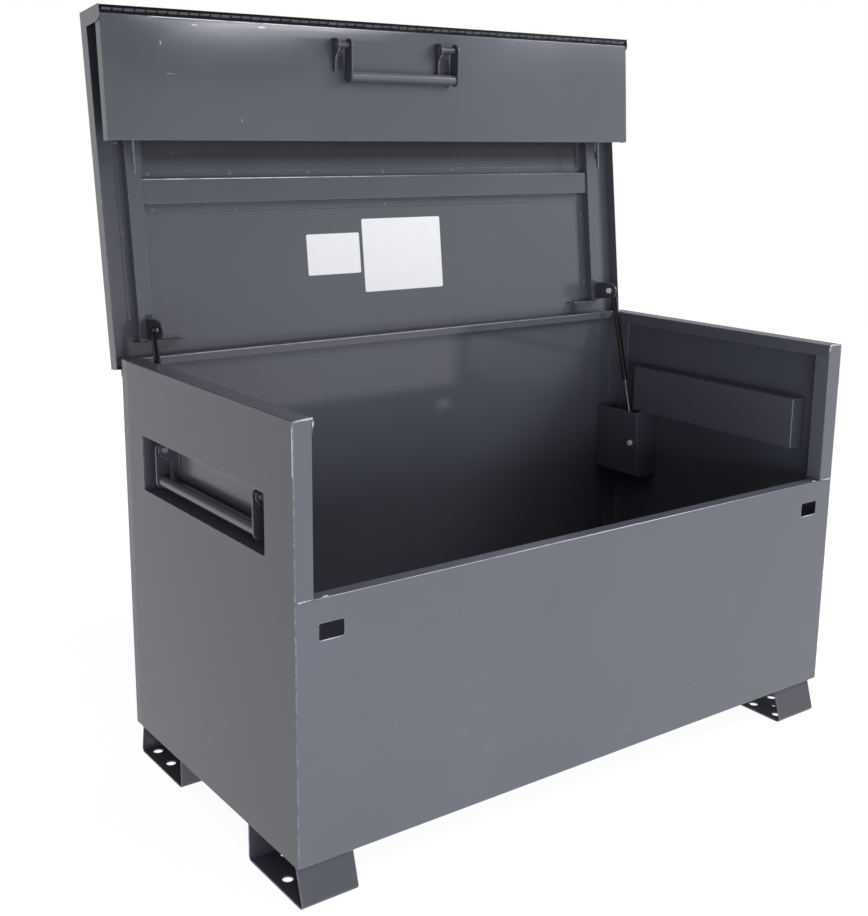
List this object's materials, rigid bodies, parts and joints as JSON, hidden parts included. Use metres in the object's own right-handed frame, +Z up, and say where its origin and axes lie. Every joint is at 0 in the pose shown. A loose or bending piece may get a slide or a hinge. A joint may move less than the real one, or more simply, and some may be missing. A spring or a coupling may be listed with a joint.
{
  "type": "jobsite storage box",
  "caption": "Steel jobsite storage box with a raised top lid, a hinged drop-down front flap, gas struts, recessed side handles and bent plate feet.",
  "frame": {"origin": "centre of the box's overall extent on the floor, lid raised", "axes": "+Z up, +Y towards the rear hinge, +X to the right seen from the front"},
  "size_m": [1.538, 0.8958, 1.6939],
  "materials": {
    "body_paint": "semi-gloss blue-grey enamel, lightly scuffed",
    "lid_paint": "semi-gloss blue-grey enamel",
    "pocket_paint": "semi-gloss blue-grey enamel",
    "foot_paint": "semi-gloss blue-grey enamel, scuffed underneath",
    "hinge_paint": "dark painted steel",
    "hinge_pin": "plain steel",
    "handle_paint": "grey enamel",
    "grip": "black steel bar, semi-gloss",
    "fastener": "zinc-plated",
    "strut_tube": "black enamel",
    "strut_rod": "bright",
    "label": "matt white, blank"
  },
  "bodies": {
    "body": {"left_side_panel": "body_paint", "right_side_panel": "body_paint", "rear_panel": "body_paint", "front_panel": "body_paint", "floor_panel": "body_paint", "left_front_post": "body_paint", "right_front_post": "body_paint", "left_rear_post": "body_paint", "right_rear_post": "body_paint", "left_front_foot": "foot_paint", "left_rear_foot": "foot_paint", "right_front_foot": "foot_paint", "right_rear_foot": "foot_paint", "left_handle_pocket": "pocket_paint", "left_handle_brackets": "handle_paint", "left_handle_pins": "fastener", "left_strut_pocket": "pocket_paint", "left_strut_lower_bolt": "fastener", "right_handle_pocket": "pocket_paint", "right_handle_brackets": "handle_paint", "right_handle_pins": "fastener", "right_strut_pocket": "pocket_paint", "right_strut_lower_bolt": "fastener", "rear_hinge_box_leaf": "hinge_paint", "rear_hinge_pin": "hinge_pin"},
    "lid": {"lid_pan": "lid_paint", "lid_left_channel": "lid_paint", "lid_right_channel": "lid_paint", "lid_cross_channel": "lid_paint", "small_label": "label", "large_label": "label", "left_strut_bracket": "handle_paint", "right_strut_bracket": "handle_paint", "left_strut_upper_bolt": "fastener", "right_strut_upper_bolt": "fastener", "rear_hinge_lid_leaf": "hinge_paint", "flap_hinge_lid_leaf": "hinge_paint"},
    "flap_pin": {"flap_hinge_pin": "hinge_pin"},
    "flap": {"flap_panel": "lid_paint", "flap_hinge_leaf": "hinge_paint", "left_latch_hook": "lid_paint", "right_latch_hook": "lid_paint", "flap_handle_brackets": "handle_paint", "flap_handle_pins": "handle_paint"},
    "flap_handle": {"flap_handle_arms": "handle_paint", "flap_handle_grip": "grip"},
    "left_handle": {"left_handle_arms": "handle_paint", "left_handle_grip": "grip"},
    "right_handle": {"right_handle_arms": "handle_paint", "right_handle_grip": "grip"},
    "left_rod": {"left_strut_rod": "strut_rod"},
    "right_rod": {"right_strut_rod": "strut_rod"},
    "left_tube": {"left_strut_tube": "strut_tube"},
    "right_tube": {"right_strut_tube": "strut_tube"}
  },
  "joints": [
    {"name": "lid_hinge", "type": "hinge", "parent": "body", "child": "lid", "pos_m": [0, 0.32765, 0.9165], "axis": [-1, 0, 0], "range_deg": [-96.6, 0]},
    {"name": "flap_pin_turn", "type": "hinge", "parent": "lid", "child": "flap_pin", "pos_m": [0, 0.35042, 1.68749], "axis": [-1, 0, 0], "range_deg": [0, 105.01]},
    {"name": "flap_hinge", "type": "hinge", "parent": "flap_pin", "child": "flap", "pos_m": [0, 0.35042, 1.68749], "axis": [-1, 0, 0], "range_deg": [-12.4, 100]},
    {"name": "flap_handle_hinge", "type": "hinge", "parent": "flap", "child": "flap_handle", "pos_m": [0, 0.31918, 1.63504], "axis": [-1, 0, 0], "range_deg": [0, 115]},
    {"name": "left_handle_hinge", "type": "hinge", "parent": "body", "child": "left_handle", "pos_m": [-0.741, -0.05535, 0.768], "axis": [0, 1, 0], "range_deg": [0, 92]},
    {"name": "right_handle_hinge", "type": "hinge", "parent": "body", "child": "right_handle", "pos_m": [0.741, -0.06835, 0.7735], "axis": [0, -1, 0], "range_deg": [0, 92]},
    {"name": "left_rod_hinge", "type": "hinge", "parent": "body", "child": "left_rod", "pos_m": [-0.698, 0.17865, 0.584], "axis": [-1, 0, 0], "range_deg": [-0.939, 0]},
    {"name": "left_tube_slide", "type": "slide", "parent": "left_rod", "child": "left_tube", "axis": [0, 0.245, 0.9695], "range_m": [-0.14675, 0]},
    {"name": "right_rod_hinge", "type": "hinge", "parent": "body", "child": "right_rod", "pos_m": [0.698, 0.17865, 0.584], "axis": [-1, 0, 0], "range_deg": [-0.939, 0]},
    {"name": "right_tube_slide", "type": "slide", "parent": "right_rod", "child": "right_tube", "axis": [0, 0.245, 0.9695], "range_m": [-0.14675, 0]}
  ],
  "couplings": [
    {"joint": "flap_pin_turn", "follows": "lid_hinge", "ratio": -1.087},
    {"joint": "left_rod_hinge", "follows": "lid_hinge", "ratio": 0.009514},
    {"joint": "left_tube_slide", "follows": "lid_hinge", "m_per_rad": 0.08692},
    {"joint": "right_rod_hinge", "follows": "lid_hinge", "ratio": 0.009514},
    {"joint": "right_tube_slide", "follows": "lid_hinge", "m_per_rad": 0.08692}
  ]
}
